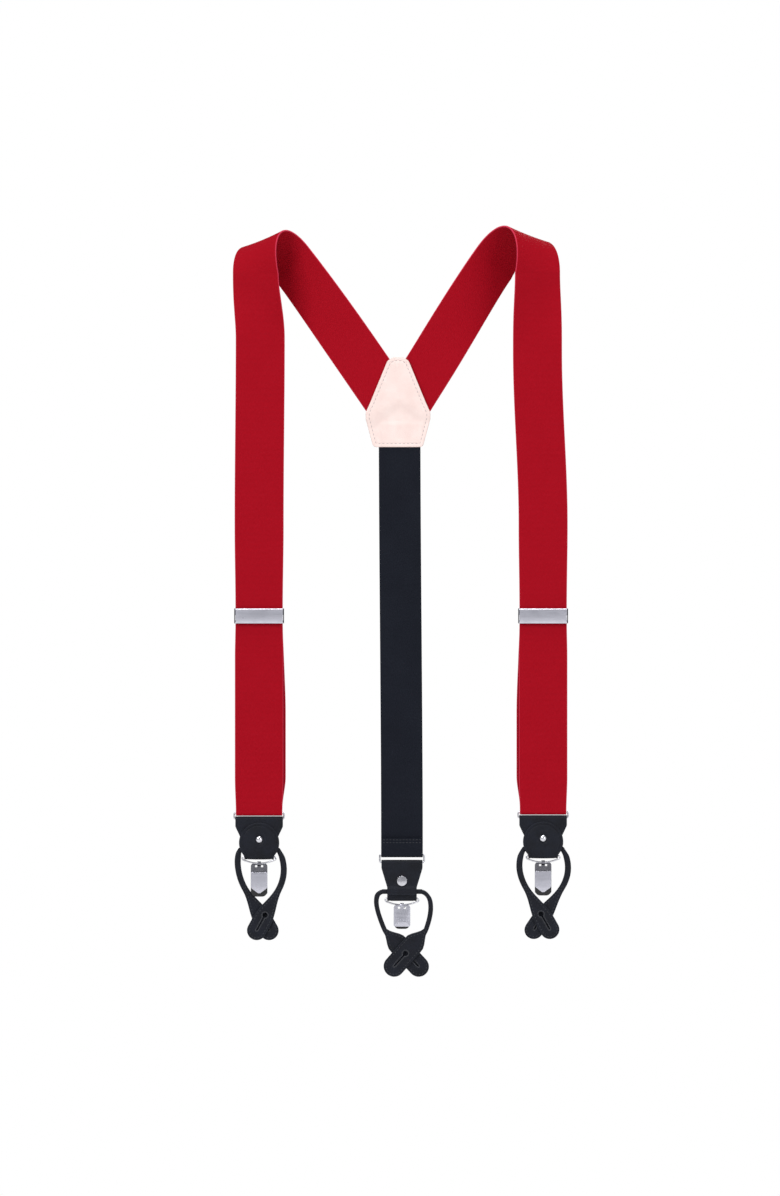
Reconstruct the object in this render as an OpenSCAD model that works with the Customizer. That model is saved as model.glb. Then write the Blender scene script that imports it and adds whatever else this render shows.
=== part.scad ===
// Pair of suspenders in the Y form, hanging from its two shoulder loops.
// The front straps hang in front, the yoke and the back strap behind them.
// +X is to the right, +Y is away from the viewer, +Z is up.
// The origin is midway between the two shoulder loops, on the bar that they hang from.

/* [Webbing] */
// Width of each front strap
strap_w = 34.8; // [34.4:0.1:36]
// Width of a front strap where the adjuster runs on it
cinched_w = 33.6; // [33:0.1:33.8]
// Thickness of the webbing
web_t = 1.3; // [1:0.05:1.4]
// Width of the elastic back strap
back_w = 30; // [26:1:30]
// Distance of the left front strap's centre from the middle
left_reach = 100; // [95:1:110]
// Distance of the right front strap's centre from the middle
right_reach = 101.6; // [95:0.2:110]
// Y of the front straps
front_y = -14; // [-16:1:-12]
// Y of the yoke and the back strap
back_y = 4; // [2:1:5]

/* [Yoke] */
// Width of the leather patch at its widest
yoke_w = 46; // [44:1:50]
// Height of the leather patch
yoke_h = 64; // [60:1:66]
// Height of the patch's top edge
yoke_top = -67.5; // [-70:0.5:-66]

/* [Adjuster] */
// Height of the adjuster's middle at rest
adjuster_z = -251.4; // [-256:1:-246]
// How far the adjuster slides up, and as far down
adjuster_travel = 60; // [20:5:60]

/* [Strap ends] */
// Height of the left, right and back strap rings' upper bars
ring_z = [-391.2, -390.4, -420.7];
// Distance between the two bars of a front strap ring
front_ring_gap = 4.2; // [4.2:0.1:6.5]
// Distance between the two bars of the back strap ring
back_ring_gap = 5.6; // [4.2:0.1:6.5]
// Thickness of the leather
leather_t = 1.2; // [1:0.05:1.2]
// Length of the front clips below the D-ring
front_clip = 23.6; // [22:0.2:24]
// Length of the back clip below the D-ring
back_clip = 17; // [16.5:0.5:18]
// Radius of the eye of each buttonhole
eye_r = 1.6; // [1.2:0.1:2]

/* [Hidden] */
$fn = 48;
SIDES = ["left", "right"];
ENDS = ["left", "right", "back"];
END_PARTS = ["strap_ring", "tab_base", "tab_shield", "rivet", "d_ring", "clip_body", "clip_lever",
    "clip_jaw", "clip_pad", "clip_pin", "clip_spring", "loop_core", "ear_a", "ear_b"];
ADJUSTER_PARTS = ["adjuster_frame", "adjuster_cover", "adjuster_pin", "adjuster_bar"];

RED = "#9c0f1e";
BLACK = "#1d2028";
ELASTIC = "#1a1d25";
BLUSH = "#f3e1dd";
CHROME = "#c9c9d2";

// Layout
reach = [left_reach, right_reach];
hand = [-1, 1];
end_x = [-left_reach, right_reach, 1.4];
yoke_x = -1.4;
bar_offset = 1.35;      // from a webbing layer's middle to the middle of the ring's bar
end_y = [front_y + bar_offset, front_y + bar_offset, back_y - bar_offset];
end_turn = [0, 0, 180];
end_strap_w = [cinched_w - 0.6, cinched_w - 0.6, back_w - 0.8];
clip_len = [front_clip, front_clip, back_clip];
ring_gap = [front_ring_gap, front_ring_gap, back_ring_gap];
rest_end = adjuster_z - adjuster_travel - 6.6;   // lower end of the rigid stretch of webbing

// ---------- general functions ----------
function unit(v) = v / norm(v);
function smooth(t) = t <= 0 ? 0 : t >= 1 ? 1 : t * t * (3 - 2 * t);
function mix(a, b, t) = a + (b - a) * t;
function arc(c, r, from, to, steps) =
    [for (i = [0:steps]) let(a = mix(from, to, i / steps)) [c[0] + r * cos(a), c[1] + r * sin(a)]];
function tangent(p, i) = unit(p[min(i + 1, len(p) - 1)] - p[max(i - 1, 0)]);
function side_of(p, i, d) = let(t = tangent(p, i)) p[i] + d * [-t[1], t[0]];
// Outline of a strip with half width h[i] at point p[i] of its middle line
function strip(p, h) = concat(
    [for (i = [0:len(p) - 1]) side_of(p, i, h[i])],
    [for (i = [len(p) - 1:-1:0]) side_of(p, i, -h[i])]);
// Outline of a bent sheet of even thickness t
function sheet(p, t) = strip(p, [for (q = p) t / 2]);

// A sheet bent in the YZ plane, w wide along X
module bent_sheet(p, t, w) {
    rotate([90, 0, 90]) linear_extrude(w, center = true) polygon(sheet(p, t));
}

// A plate cut to an XZ outline, from y0 to y1
module plate(y0, y1) {
    translate([0, y1, 0]) rotate([90, 0, 0]) linear_extrude(y1 - y0) children();
}

module rod_x(r, length) {
    rotate([0, 90, 0]) cylinder(r = r, h = length, center = true);
}

module rod_y(r, y0, y1) {
    translate([0, y0, 0]) rotate([-90, 0, 0]) cylinder(r = r, h = y1 - y0);
}

// ---------- front straps ----------
// Left and right values: the two loops hang a little differently
crest_tilt = [20.2, 19];        // slope of the loop's axis
crest_turn = [21.7, 23.7];      // turn of the strap's face at the crest, outwards
crest_r = [15.2, 18];           // half the loop's depth
crest_rise = [1.47, 1.39];      // the loop's height over its half depth
crest_reach = [102.4, 97.6];
crest_z = [-8.6, -7.9];
turn_len = [46, 56];            // length over which the strap turns below the crest
top_reach = [99.2, 97.6];       // reach just below the turn
fall = [55.5, 57.9];            // slope of the stretch behind, below the horizontal
entry = [[22.6, -76.7], [21.4, -76]];   // where the strap meets the yoke: reach and height
yoke_tail = 32;                 // length of strap inside the yoke
layer = [-0.7, 0.7];            // the two straps cross in the yoke, one behind the other
travel_top = adjuster_z + adjuster_travel + 6;

function crest_axis(s) = [-cos(crest_tilt[s]) * cos(crest_turn[s]),
    -cos(crest_tilt[s]) * sin(crest_turn[s]), sin(crest_tilt[s])];
function crest_out(s) = [sin(crest_turn[s]), -cos(crest_turn[s]), 0];
function crest_up(s) = unit([0, 0, 1] - sin(crest_tilt[s]) * crest_axis(s));
function turn_start(s) = crest_z[s] - turn_len[s];
function front_w(z) = mix(cinched_w, strap_w, smooth((z - travel_top) / 40));

// Each row is [middle of the strap, direction across it, width], in the outward-going frame
function front_row(s, z) = let(
        t = smooth((z - turn_start(s)) / turn_len[s]),
        u = z < turn_start(s)
            ? mix(reach[s], top_reach[s], smooth((z - travel_top) / (turn_start(s) - travel_top)))
            : mix(top_reach[s], crest_reach[s], t),
        a = crest_turn[s] * t)
    [[u, front_y, z], [-cos(a), -sin(a), 0], front_w(z)];
function crest_row(s, a) = let(
        along = crest_r[s] * a * PI / 180 * tan(crest_tilt[s]),
        middle = [crest_reach[s], front_y, crest_z[s]] - crest_r[s] * crest_out(s),
        way = -sin(a) * crest_out(s) + cos(a) * crest_up(s))
    [middle + crest_r[s] * cos(a) * crest_out(s)
            + crest_rise[s] * crest_r[s] * sin(a) * crest_up(s) + along * crest_axis(s),
        cos(crest_tilt[s]) * crest_axis(s) - sin(crest_tilt[s]) * way, strap_w];
function fall_way(s) = [-cos(fall[s]), 0, -sin(fall[s])];
function entry_point(s) = [entry[s][0], back_y + layer[s], entry[s][1]];
function fall_row(s, t) = let(
        first = crest_row(s, 180),
        p = first[0],
        q = entry_point(s),
        pull = norm(q - p) * 0.7,
        way = 2 * crest_axis(s)[2] * crest_axis(s) - [0, 0, 1],
        c = (2 * t ^ 3 - 3 * t ^ 2 + 1) * p + (t ^ 3 - 2 * t ^ 2 + t) * pull * way
            + (3 * t ^ 2 - 2 * t ^ 3) * q + (t ^ 3 - t ^ 2) * pull * fall_way(s),
        across = mix(first[1], [-sin(fall[s]), 0, cos(fall[s])], smooth(t)))
    [c, unit(across), strap_w];
function tail_row(s, t) =
    [entry_point(s) + t * yoke_tail * fall_way(s), [-sin(fall[s]), 0, cos(fall[s])], strap_w];

function strap_rows(s) = concat(
    [for (z = [rest_end, travel_top]) front_row(s, z)],
    [for (i = [1:8]) front_row(s, mix(travel_top, turn_start(s), i / 8))],
    [for (i = [1:10]) front_row(s, turn_start(s) + turn_len[s] * i / 10)],
    [for (i = [1:20]) crest_row(s, i * 9)],
    [for (i = [1:12]) fall_row(s, i / 12)],
    [tail_row(s, 1)]);

// Solid of a ribbon swept through rows of [middle, across, width]
module ribbon(rows, t) {
    n = len(rows);
    way = [for (i = [0:n - 1]) rows[min(i + 1, n - 1)][0] - rows[max(i - 1, 0)][0]];
    points = [for (i = [0:n - 1]) let(
            c = rows[i][0],
            w = rows[i][1] * rows[i][2] / 2,
            f = unit(cross(way[i], rows[i][1])) * t / 2)
        each [c + w + f, c - w + f, c - w - f, c + w - f]];
    walls = [for (i = [0:n - 2], k = [0:3]) let(a = 4 * i + k, b = 4 * i + (k + 1) % 4)
        each [[a, b, b + 4], [a, b + 4, a + 4]]];
    polyhedron(points, concat([[3, 2, 1], [3, 1, 0]], walls,
        [[4 * n - 4, 4 * n - 3, 4 * n - 2], [4 * n - 4, 4 * n - 2, 4 * n - 1]]));
}

module front_strap(s) {
    color(RED) mirror([s == 0 ? 1 : 0, 0, 0]) ribbon(strap_rows(s), web_t);
}

// The doubled stretch: down from the adjuster, round the ring's bar and up to the adjuster's bar
adjuster_bar_at = [3.0, -3.8];   // Y from the strap's middle, Z from the adjuster's middle
module strap_loop(s) {
    bar_z = adjuster_z + adjuster_bar_at[1] - ring_z[s];
    bar_y = adjuster_bar_at[0] - bar_offset;
    hem_r = 0.9 + web_t / 2;
    route = concat(
        [[-bar_offset, rest_end - 0.3 - ring_z[s]]],
        arc([0, 0], bar_offset, 180, 360, 16),
        [[bar_offset, bar_z - 36], [bar_offset + 0.15, bar_z - 26], [bar_offset + 0.25, bar_z - 8],
            [bar_y + hem_r - 0.1, bar_z - 1.6]],
        arc([bar_y, bar_z], hem_r, 0, 180, 14),
        [[bar_y - hem_r, bar_z - 14]]);
    color(RED) translate([end_x[s], end_y[s], ring_z[s]]) bent_sheet(route, web_t, end_strap_w[s]);
}

// ---------- yoke and back strap ----------
module yoke_outline(grow) {
    w = yoke_w / 2 + grow;
    r = 3;
    offset(r = r) offset(delta = -r) polygon([
        [-3.6, 0], [3.6, 0], [7.6, -2.8], [w - 3.4, -32], [w, -39.5], [w, -44], [17.6, -yoke_h],
        [-17.6, -yoke_h], [-w, -44], [-w, -39.5], [3.4 - w, -32], [-7.6, -2.8]]);
}

module yoke_patch(y0, y1) {
    translate([yoke_x, 0, yoke_top]) plate(y0, y1) yoke_outline(0);
}

module yoke_outer_leather() {
    color(BLACK) yoke_patch(back_y + 1.4, back_y + 1.4 + leather_t);
}

module yoke_lining() {
    color(BLUSH) yoke_patch(back_y - 1.4 - leather_t, back_y - 1.4);
}

back_top = -114.5;
hem_len = 12;
module back_strap() {
    route = concat(
        [[-bar_offset, back_top - ring_z[2]]],
        arc([0, 0], bar_offset, 180, 360, 16),
        [[bar_offset, hem_len]]);
    color(ELASTIC) translate([end_x[2], end_y[2], ring_z[2]]) rotate([0, 0, 180])
        bent_sheet(route, web_t, back_w - 0.8);
}

// ---------- adjusters ----------
slot_w = cinched_w + 0.4;       // inside width of the frame
cheek_t = 0.7;
cover_pin = [-2.2, 4.2];        // Y and Z of the cover's hinge
cover_pin_r = 0.6;
adjuster_bar_r = 0.8;
adjuster_h = 11;

module on_adjuster(s) {
    translate([hand[s] * reach[s], front_y, adjuster_z]) children();
}

module cheek_outline() {
    offset(r = 1) offset(delta = -1) polygon([[-3.4, -5.2], [-3.4, 5.4], [2.2, 5.4], [4.4, 0], [4.4, -5.2]]);
}

module adjuster_frame(s) {
    w = slot_w + 2 * cheek_t;
    color(CHROME) on_adjuster(s) difference() {
        union() {
            difference() {
                rotate([90, 0, 90]) linear_extrude(w, center = true) cheek_outline();
                cube([slot_w, 20, 20], center = true);
            }
            translate([-w / 2, 1.05, 0.6]) cube([w, 0.8, 4.6]);
        }
        translate([0, cover_pin[0], cover_pin[1]]) rod_x(cover_pin_r, 60);
        translate([0, adjuster_bar_at[0], adjuster_bar_at[1]]) rod_x(adjuster_bar_r, 60);
    }
}

module adjuster_cover(s) {
    face = [[cover_pin[0] - 0.8, cover_pin[1]], [cover_pin[0] - 0.95, 2], [cover_pin[0] - 1, 0],
        [cover_pin[0] - 0.9, -3.4], [cover_pin[0] - 0.6, -5.2]];
    color(CHROME) on_adjuster(s) difference() {
        union() {
            bent_sheet(face, 1, slot_w - 0.4);
            translate([0, cover_pin[0], cover_pin[1]]) rod_x(1.3, slot_w - 0.4);
        }
        translate([0, cover_pin[0], cover_pin[1]]) rod_x(cover_pin_r + 0.05, 60);
    }
}

module adjuster_pin(s) {
    color(CHROME) on_adjuster(s) translate([0, cover_pin[0], cover_pin[1]])
        rod_x(cover_pin_r, slot_w + 2 * cheek_t);
}

module adjuster_bar(s) {
    color(CHROME) on_adjuster(s) translate([0, adjuster_bar_at[0], adjuster_bar_at[1]])
        rod_x(adjuster_bar_r, slot_w + 2 * cheek_t);
}

// ---------- strap ends ----------
// Each end is drawn about the middle of its strap ring's upper bar, outer face to -Y
wire_r = 0.6;
fold_r = wire_r + 0.1;          // inside radius of a fold that turns on a wire
shield_r = [14.3, 14.3, 11];
shield_z = [-21.2, -21.2, -18.6];
rivet_z = -18.8;
core_z = -26.3;
core_r = 1.7;
core_w = 23.5;
tab_low = -33;
tab_foot = 10.5;                // half width of the tab's foot
d_bar_z = tab_low + fold_r + leather_t;
d_drop = 4.7;                   // depth of the D-ring
hook_z = d_bar_z - d_drop;      // the clip hangs from here
rivet_r = 1.4;

module on_end(e) {
    translate([end_x[e], end_y[e], ring_z[e]]) rotate([0, 0, end_turn[e]]) children();
}

module wire_corner(x, z, r, from, to, wire = wire_r) {
    translate([x, 0, z]) rotate([90, 0, 0]) rotate([0, 0, from])
        rotate_extrude(angle = to - from) translate([r, 0]) circle(r = wire, $fn = 24);
}

module strap_ring(e) {
    bar = end_strap_w[e] + 0.4;
    r = 0.9;
    color(CHROME) on_end(e) union() {
        for (z = [0, -ring_gap[e]]) translate([0, 0, z]) rod_x(wire_r, bar);
        for (m = [-1, 1]) {
            translate([m * (bar / 2 + r), 0, r - ring_gap[e]]) cylinder(r = wire_r, h = ring_gap[e] - 2 * r);
            wire_corner(m * bar / 2, -r, r, m > 0 ? 0 : 90, m > 0 ? 90 : 180);
            wire_corner(m * bar / 2, r - ring_gap[e], r, m > 0 ? 270 : 180, m > 0 ? 360 : 270);
        }
    }
}

// Outline of the inner leather, from the ring's lower bar down
module tab_outline(e) {
    top = end_strap_w[e] / 2;
    polygon([[-top, 0], [top, 0], [top, -9.7], [tab_foot, -23.3], [tab_foot, -40], [-tab_foot, -40],
        [-tab_foot, -23.3], [-top, -9.7]]);
}

module rivet_hole() {
    translate([0, 0, rivet_z]) rod_y(rivet_r, -10, 10);
}

module tab_base(e) {
    r = fold_r + leather_t / 2;
    route = concat(
        [[-r, -23]],
        arc([0, -ring_gap[e]], r, 180, 0, 16),
        [[r, -22.6], [r + 1.2, -24.4], [r + 1.2, -29]]);
    color(BLACK) on_end(e) difference() {
        intersection() {
            bent_sheet(route, leather_t, 60);
            plate(-10, 10) tab_outline(e);
        }
        rivet_hole();
    }
}

// A disc above, narrowing to the foot
module shield_outline(e) {
    polygon(concat(arc([0, shield_z[e]], shield_r[e], -28, 208, 48),
        [[-tab_foot, tab_low], [-tab_foot, -40], [tab_foot, -40], [tab_foot, tab_low]]));
}

module tab_shield(e) {
    r = fold_r + leather_t / 2;
    front = r + leather_t + 0.05;
    route = concat(
        [[-front, -5], [-front, -27.4]],
        arc([0, d_bar_z], r, 180, 360, 16),
        [[r, -28.5]]);
    color(BLACK) on_end(e) difference() {
        intersection() {
            bent_sheet(route, leather_t, 60);
            plate(-10, 10) shield_outline(e);
        }
        rivet_hole();
    }
}

module rivet(e) {
    front = fold_r + 2 * leather_t + 0.05;
    back = fold_r + leather_t;
    color(CHROME) on_end(e) translate([0, 0, rivet_z]) union() {
        rod_y(rivet_r, -front - 0.2, back + 0.2);
        rod_y(3.5, back, back + 0.6);
        translate([0, -front, 0]) rotate([90, 0, 0]) difference() {
            translate([0, 0, -1.6]) sphere(r = 2.97);
            translate([0, 0, -5]) cube(10, center = true);
        }
    }
}

// D-ring: a straight bar in the leather's fold, small bends at its ends, and below them
// two straight stretches that lean towards one long arc; each bend is a little thinner, and
// ends inside the straight wire
d_half = tab_foot + 0.1;
d_bend = 1.2;
d_lean = 20;
bend_wire = wire_r - 0.04;
d_sweep = (d_half * sin(d_lean) + d_bend * (1 + cos(d_lean)) - d_drop * cos(d_lean)) / (1 - cos(d_lean));
d_run = (d_half + (d_bend - d_sweep) * sin(d_lean)) / cos(d_lean);
module d_ring(e) {
    color(CHROME) on_end(e) translate([0, 0, d_bar_z]) union() {
        rod_x(wire_r, 2 * d_half);
        wire_corner(d_half, -d_bend, d_bend, d_lean - 96, 96, bend_wire);
        wire_corner(-d_half, -d_bend, d_bend, 84, 276 - d_lean, bend_wire);
        for (m = [-1, 1])
            translate([m * (d_half + d_bend * sin(d_lean)), 0, -d_bend * (1 + cos(d_lean))])
                rotate([0, -m * (90 + d_lean), 0]) cylinder(r = wire_r, h = d_run);
        wire_corner(0, d_sweep - d_drop, d_sweep, 269.4 - d_lean, 270.6 + d_lean, bend_wire);
    }
}

// ---------- clip ----------
// Drawn about the D-ring's lowest wire, outer face to -Y
clip_w = 11.8;
back_in = 1.7;                  // inner face of the clip's back plate
plate_t = 0.8;
hook_w = 2.6;
cheek_w = 0.8;
pin_y = -0.3;
pin_r = 0.8;
lobe_r = 1.25;                  // metal round the pin
lever_in = pin_y - 1.5;         // inner face of the lever
pad_y = [-1.5, 1.1];
jaw_y = [-0.7, 0];
plate_short = 1.6;              // the pad's nose reaches below the back plate
function pin_z(e) = -0.3 * clip_len[e];

module on_clip(e) {
    on_end(e) translate([0, 0, hook_z]) children();
}

module clip_plate_outline(e) {
    w = clip_w / 2;
    low = plate_short - clip_len[e];
    difference() {
        offset(r = 1.2) offset(delta = -1.2)
            polygon([[-w + 0.8, -0.2], [w - 0.8, -0.2], [w, -1.6], [w, low], [-w, low], [-w, -1.6]]);
        for (m = [-1, 1]) translate([m * 2.1, -2]) square([1.5, 1.4], center = true);
    }
}

module clip_body(e) {
    color(CHROME) on_clip(e) difference() {
        union() {
            rod_x(1.4, hook_w);
            rotate([90, 0, 90]) linear_extrude(hook_w, center = true)
                polygon([[0.7, 0.6], [1.35, 0.3], [back_in + plate_t, -1.6], [back_in + plate_t, -3],
                    [back_in, -3], [back_in, -2], [0.5, -1.1]]);
            plate(back_in, back_in + plate_t) clip_plate_outline(e);
            // turned-in lip along the foot
            translate([1.2 - clip_w / 2, back_in - 0.5, plate_short - clip_len[e]]) cube([clip_w - 2.4, 0.6, 0.7]);
            // blank oval boss near the foot
            plate(back_in + plate_t, back_in + plate_t + 0.25)
                hull() for (m = [-1, 1]) translate([m * 1.6, plate_short - clip_len[e] + 3.4]) circle(r = 1.5, $fn = 32);
            for (m = [-1, 1]) translate([m * (clip_w - cheek_w) / 2, 0, pin_z(e)])
                rotate([90, 0, 90]) linear_extrude(cheek_w, center = true) union() {
                    translate([pin_y, 0]) circle(r = lobe_r);
                    translate([pin_y, -1.1]) square([back_in - pin_y + 0.1, 2.2]);
                }
        }
        rod_x(wire_r + 0.1, 10);
        translate([0, pin_y, pin_z(e)]) rod_x(pin_r, 20);
    }
}

module clip_lever(e) {
    w = clip_w / 2 - 0.1;
    z = pin_z(e);
    tip = -clip_len[e] + 2.4;
    color(CHROME) on_clip(e) difference() {
        union() {
            plate(lever_in - plate_t, lever_in)
                polygon([[-w, z + 0.5], [w, z + 0.5], [w, tip + 4.2], [w - 0.7, tip + 3.2], [0.8, tip], [-0.8, tip],
                    [0.7 - w, tip + 3.2], [-w, tip + 4.2]]);
            for (m = [-1, 1]) translate([m * 4.5, 0, z])
                rotate([90, 0, 90]) linear_extrude(0.7, center = true) union() {
                    translate([pin_y, 0]) circle(r = lobe_r);
                    translate([lever_in - 0.1, -1.1]) square([pin_y - lever_in + 0.1, 1.6]);
                }
        }
        translate([0, pin_y, z]) rod_x(pin_r + 0.05, 20);
    }
}

module clip_jaw(e) {
    z = pin_z(e);
    foot = -clip_len[e] + 4;
    color(CHROME) on_clip(e) difference() {
        union() {
            translate([0, pin_y, z]) rod_x(lobe_r, 4.6);
            plate(jaw_y[0], jaw_y[1])
                polygon([[-2.3, z], [2.3, z], [2.3, z - 2], [4.6, z - 3.4], [4.6, foot], [-4.6, foot],
                    [-4.6, z - 3.4], [-2.3, z - 2]]);
        }
        translate([0, pin_y, z]) rod_x(pin_r + 0.05, 20);
    }
}

module clip_pad(e) {
    w = clip_w / 2 - 0.2;
    r = 3.6;
    low = -clip_len[e];
    top = pin_z(e) - 4.4;
    color("#0c0c0e") on_clip(e) difference() {
        plate(pad_y[0], pad_y[1]) union() {
            translate([-w, low + r]) square([2 * w, top - low - r]);
            translate([r - w, low]) square([2 * (w - r), r + 0.1]);
            for (m = [-1, 1]) translate([m * (w - r), low + r]) circle(r = r);
        }
        plate(jaw_y[0], jaw_y[1]) translate([-4.6, -clip_len[e] + 4]) square([9.2, 30]);
    }
}

module clip_pin(e) {
    color(CHROME) on_clip(e) translate([0, pin_y, pin_z(e)]) rod_x(pin_r, clip_w);
}

module clip_spring(e) {
    coil_r = 1.13;
    spring_wire = 0.24;
    color("#8f9098") on_clip(e) translate([0, pin_y, pin_z(e)]) for (i = [0:3])
        translate([2.62 + 0.4 * i, 0, 0]) rotate([0, 90, 0])
            rotate_extrude() translate([coil_r, 0]) circle(r = spring_wire, $fn = 16);
}

// ---------- button loop ----------
// Two leather strands leave the tab, bow outwards and cross in two flat ears with a buttonhole each
ear_t = 1.6;
ear_gap = 0.15;                 // from the end's middle plane to each ear
ear_r = [6.9, 6.9, 7.4];
ear_tip = [[4.7, -83.4], [4.7, -83.4], [8.7, -79.4]];     // middle of the round end
ear_root = [[-11.6, -54], [-11.6, -54], [-14.6, -53.6]];  // where the strand starts to widen
steeper = [0, 0, 20];           // how much steeper the strand arrives there than the ear goes on
bow = [[-16, -29.5], [-16, -29.5], [-22, -28]];           // pulls the strand outwards
widen_len = [26, 26, 13];
strand_h = [2.2, 2.2, 1.7];     // half width of the strand
start_h = 1.6;                  // half width where the strand leaves the core
ear_pivot = [-core_w / 2 - 0.15 - start_h, core_z];
eye_back = 12.4;                // from the round end's middle to the buttonhole's eye
slit_w = 0.5;

function bezier(a, b, c, d, t) =
    (1 - t) ^ 3 * a + 3 * (1 - t) ^ 2 * t * b + 3 * (1 - t) * t ^ 2 * c + t ^ 3 * d;
function ear_way(e) = unit(ear_tip[e] - ear_root[e]);
function strand_way(e) = let(a = atan2(ear_way(e)[1], ear_way(e)[0]) - steeper[e]) [cos(a), sin(a)];
function ear_line(e) = concat(
    [for (i = [0:16]) bezier(ear_pivot, bow[e], ear_root[e] - 14 * strand_way(e), ear_root[e], i / 16)],
    [for (i = [1:12]) mix(ear_root[e], ear_tip[e], i / 12)]);
function ear_half(e) = let(far = norm(ear_tip[e] - ear_root[e])) concat(
    [for (i = [0:16]) mix(start_h, strand_h[e], smooth(i / 6))],
    [for (i = [1:12]) mix(strand_h[e], ear_r[e], smooth(i / 12 * far / widen_len[e]))]);
function ear_outline(e) = let(
        line = ear_line(e),
        half = ear_half(e),
        last = len(line) - 2,
        out = tangent(line, 0),
        start = atan2(out[1], out[0]),
        turn = atan2(ear_way(e)[1], ear_way(e)[0]))
    concat(arc(ear_pivot, start_h, start + 270, start + 90, 16),
        [for (i = [1:last]) side_of(line, i, half[i])],
        arc(ear_tip[e], ear_r[e], turn + 90, turn - 90, 24),
        [for (i = [last:-1:1]) side_of(line, i, -half[i])]);

module ear_shape(e) {
    eye = ear_tip[e] - eye_back * ear_way(e);
    difference() {
        polygon(ear_outline(e));
        translate(eye) circle(r = eye_r);
        translate(eye) rotate([0, 0, atan2(ear_way(e)[1], ear_way(e)[0])])
            translate([0, -slit_w / 2]) square([eye_back, slit_w]);
    }
}

module loop_core(e) {
    color(BLACK) on_end(e) translate([0, 0, core_z]) rod_x(core_r, core_w);
}

// The two ears lie on either side of the end's middle plane
ear_order = [1, -1, 1];         // the side of the ear that starts at the left
module ear_layer(side) {
    y = side * (ear_gap + ear_t / 2);
    plate(y - ear_t / 2, y + ear_t / 2) children();
}

module ear_a(e) {
    color(BLACK) on_end(e) ear_layer(ear_order[e]) ear_shape(e);
}

module ear_b(e) {
    color(BLACK) on_end(e) ear_layer(-ear_order[e]) mirror([1, 0, 0]) ear_shape(e);
}

module end_part(p, e) {
    if (p == "strap_ring") strap_ring(e);
    if (p == "tab_base") tab_base(e);
    if (p == "tab_shield") tab_shield(e);
    if (p == "rivet") rivet(e);
    if (p == "d_ring") d_ring(e);
    if (p == "clip_body") clip_body(e);
    if (p == "clip_lever") clip_lever(e);
    if (p == "clip_jaw") clip_jaw(e);
    if (p == "clip_pad") clip_pad(e);
    if (p == "clip_pin") clip_pin(e);
    if (p == "clip_spring") clip_spring(e);
    if (p == "loop_core") loop_core(e);
    if (p == "ear_a") ear_a(e);
    if (p == "ear_b") ear_b(e);
}

module adjuster_part(p, s) {
    if (p == "adjuster_frame") adjuster_frame(s);
    if (p == "adjuster_cover") adjuster_cover(s);
    if (p == "adjuster_pin") adjuster_pin(s);
    if (p == "adjuster_bar") adjuster_bar(s);
}

yoke_outer_leather();
yoke_lining();
back_strap();
for (s = [0, 1]) front_strap(s);
for (s = [0, 1]) strap_loop(s);
for (s = [0, 1], p = ADJUSTER_PARTS) adjuster_part(p, s);
for (e = [0, 1, 2], p = END_PARTS) end_part(p, e);
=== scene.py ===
"""Suspenders hanging from their two shoulder loops: the looks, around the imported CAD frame.

Lengths inside this script are millimetres; add_mesh() turns them into metres.
"""

import math

import bmesh
import bpy
import numpy as np
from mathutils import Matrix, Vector
from mathutils.geometry import delaunay_2d_cdt


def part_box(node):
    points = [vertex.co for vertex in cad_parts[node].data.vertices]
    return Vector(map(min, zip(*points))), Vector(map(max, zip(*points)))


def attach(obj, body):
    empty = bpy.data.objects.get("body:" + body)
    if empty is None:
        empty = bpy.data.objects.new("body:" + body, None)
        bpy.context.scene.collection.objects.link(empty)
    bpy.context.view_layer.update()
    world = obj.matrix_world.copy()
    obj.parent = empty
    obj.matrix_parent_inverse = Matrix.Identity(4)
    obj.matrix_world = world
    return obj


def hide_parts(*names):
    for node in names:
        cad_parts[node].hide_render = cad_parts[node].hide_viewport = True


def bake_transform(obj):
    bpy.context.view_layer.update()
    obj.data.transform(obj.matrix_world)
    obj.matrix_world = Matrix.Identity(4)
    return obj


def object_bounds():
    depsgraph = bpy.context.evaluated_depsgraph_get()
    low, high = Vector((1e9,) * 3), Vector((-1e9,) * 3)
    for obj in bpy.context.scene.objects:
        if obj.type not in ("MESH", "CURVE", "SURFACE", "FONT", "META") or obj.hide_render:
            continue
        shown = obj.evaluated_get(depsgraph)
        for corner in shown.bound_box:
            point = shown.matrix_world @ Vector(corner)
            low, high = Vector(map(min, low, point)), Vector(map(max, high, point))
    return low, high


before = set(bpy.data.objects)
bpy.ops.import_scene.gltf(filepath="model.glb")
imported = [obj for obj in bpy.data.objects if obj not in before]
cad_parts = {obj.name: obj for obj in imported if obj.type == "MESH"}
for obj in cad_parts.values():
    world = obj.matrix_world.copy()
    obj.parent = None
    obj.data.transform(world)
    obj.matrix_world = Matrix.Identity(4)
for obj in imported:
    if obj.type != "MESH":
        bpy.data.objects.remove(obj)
cad_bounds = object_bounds()

MM = 0.001
SIDES = ("left", "right")
ENDS = ("left", "right", "back")


def node_box(node):
    """Lowest and highest corner of a CAD node, in millimetres."""
    lo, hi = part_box(node)
    return np.array(lo) / MM, np.array(hi) / MM


def node_middle(node):
    lo, hi = node_box(node)
    return (lo + hi) / 2


# ---------- sizes ----------
STRAP_W = 34.8
CINCHED_W = 33.6
LOOP_W = 34.4  # the doubled stretch, between the adjuster and the ring
RING_W = 33.0
WEB_T = 1.3
ELASTIC_W = 29.6
WIRE_R = 0.6
LEATHER_T = 1.2
FRONT_Y = -14.0
BACK_Y = 4.0
BAR_OFFSET = 1.35  # from a webbing layer's middle to the ring bar's middle
BEHIND_SHIFT = 1.7  # how far the layer behind stands out at the inner edge of the doubled stretch
BACK_LEAN = 1.7  # how far the back strap's top is to the left of its ring
ADJUSTER_Z = node_middle("left_adjuster_frame")[2] - 0.1
ADJUSTER_BAR = (3.0, -3.8)

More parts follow.
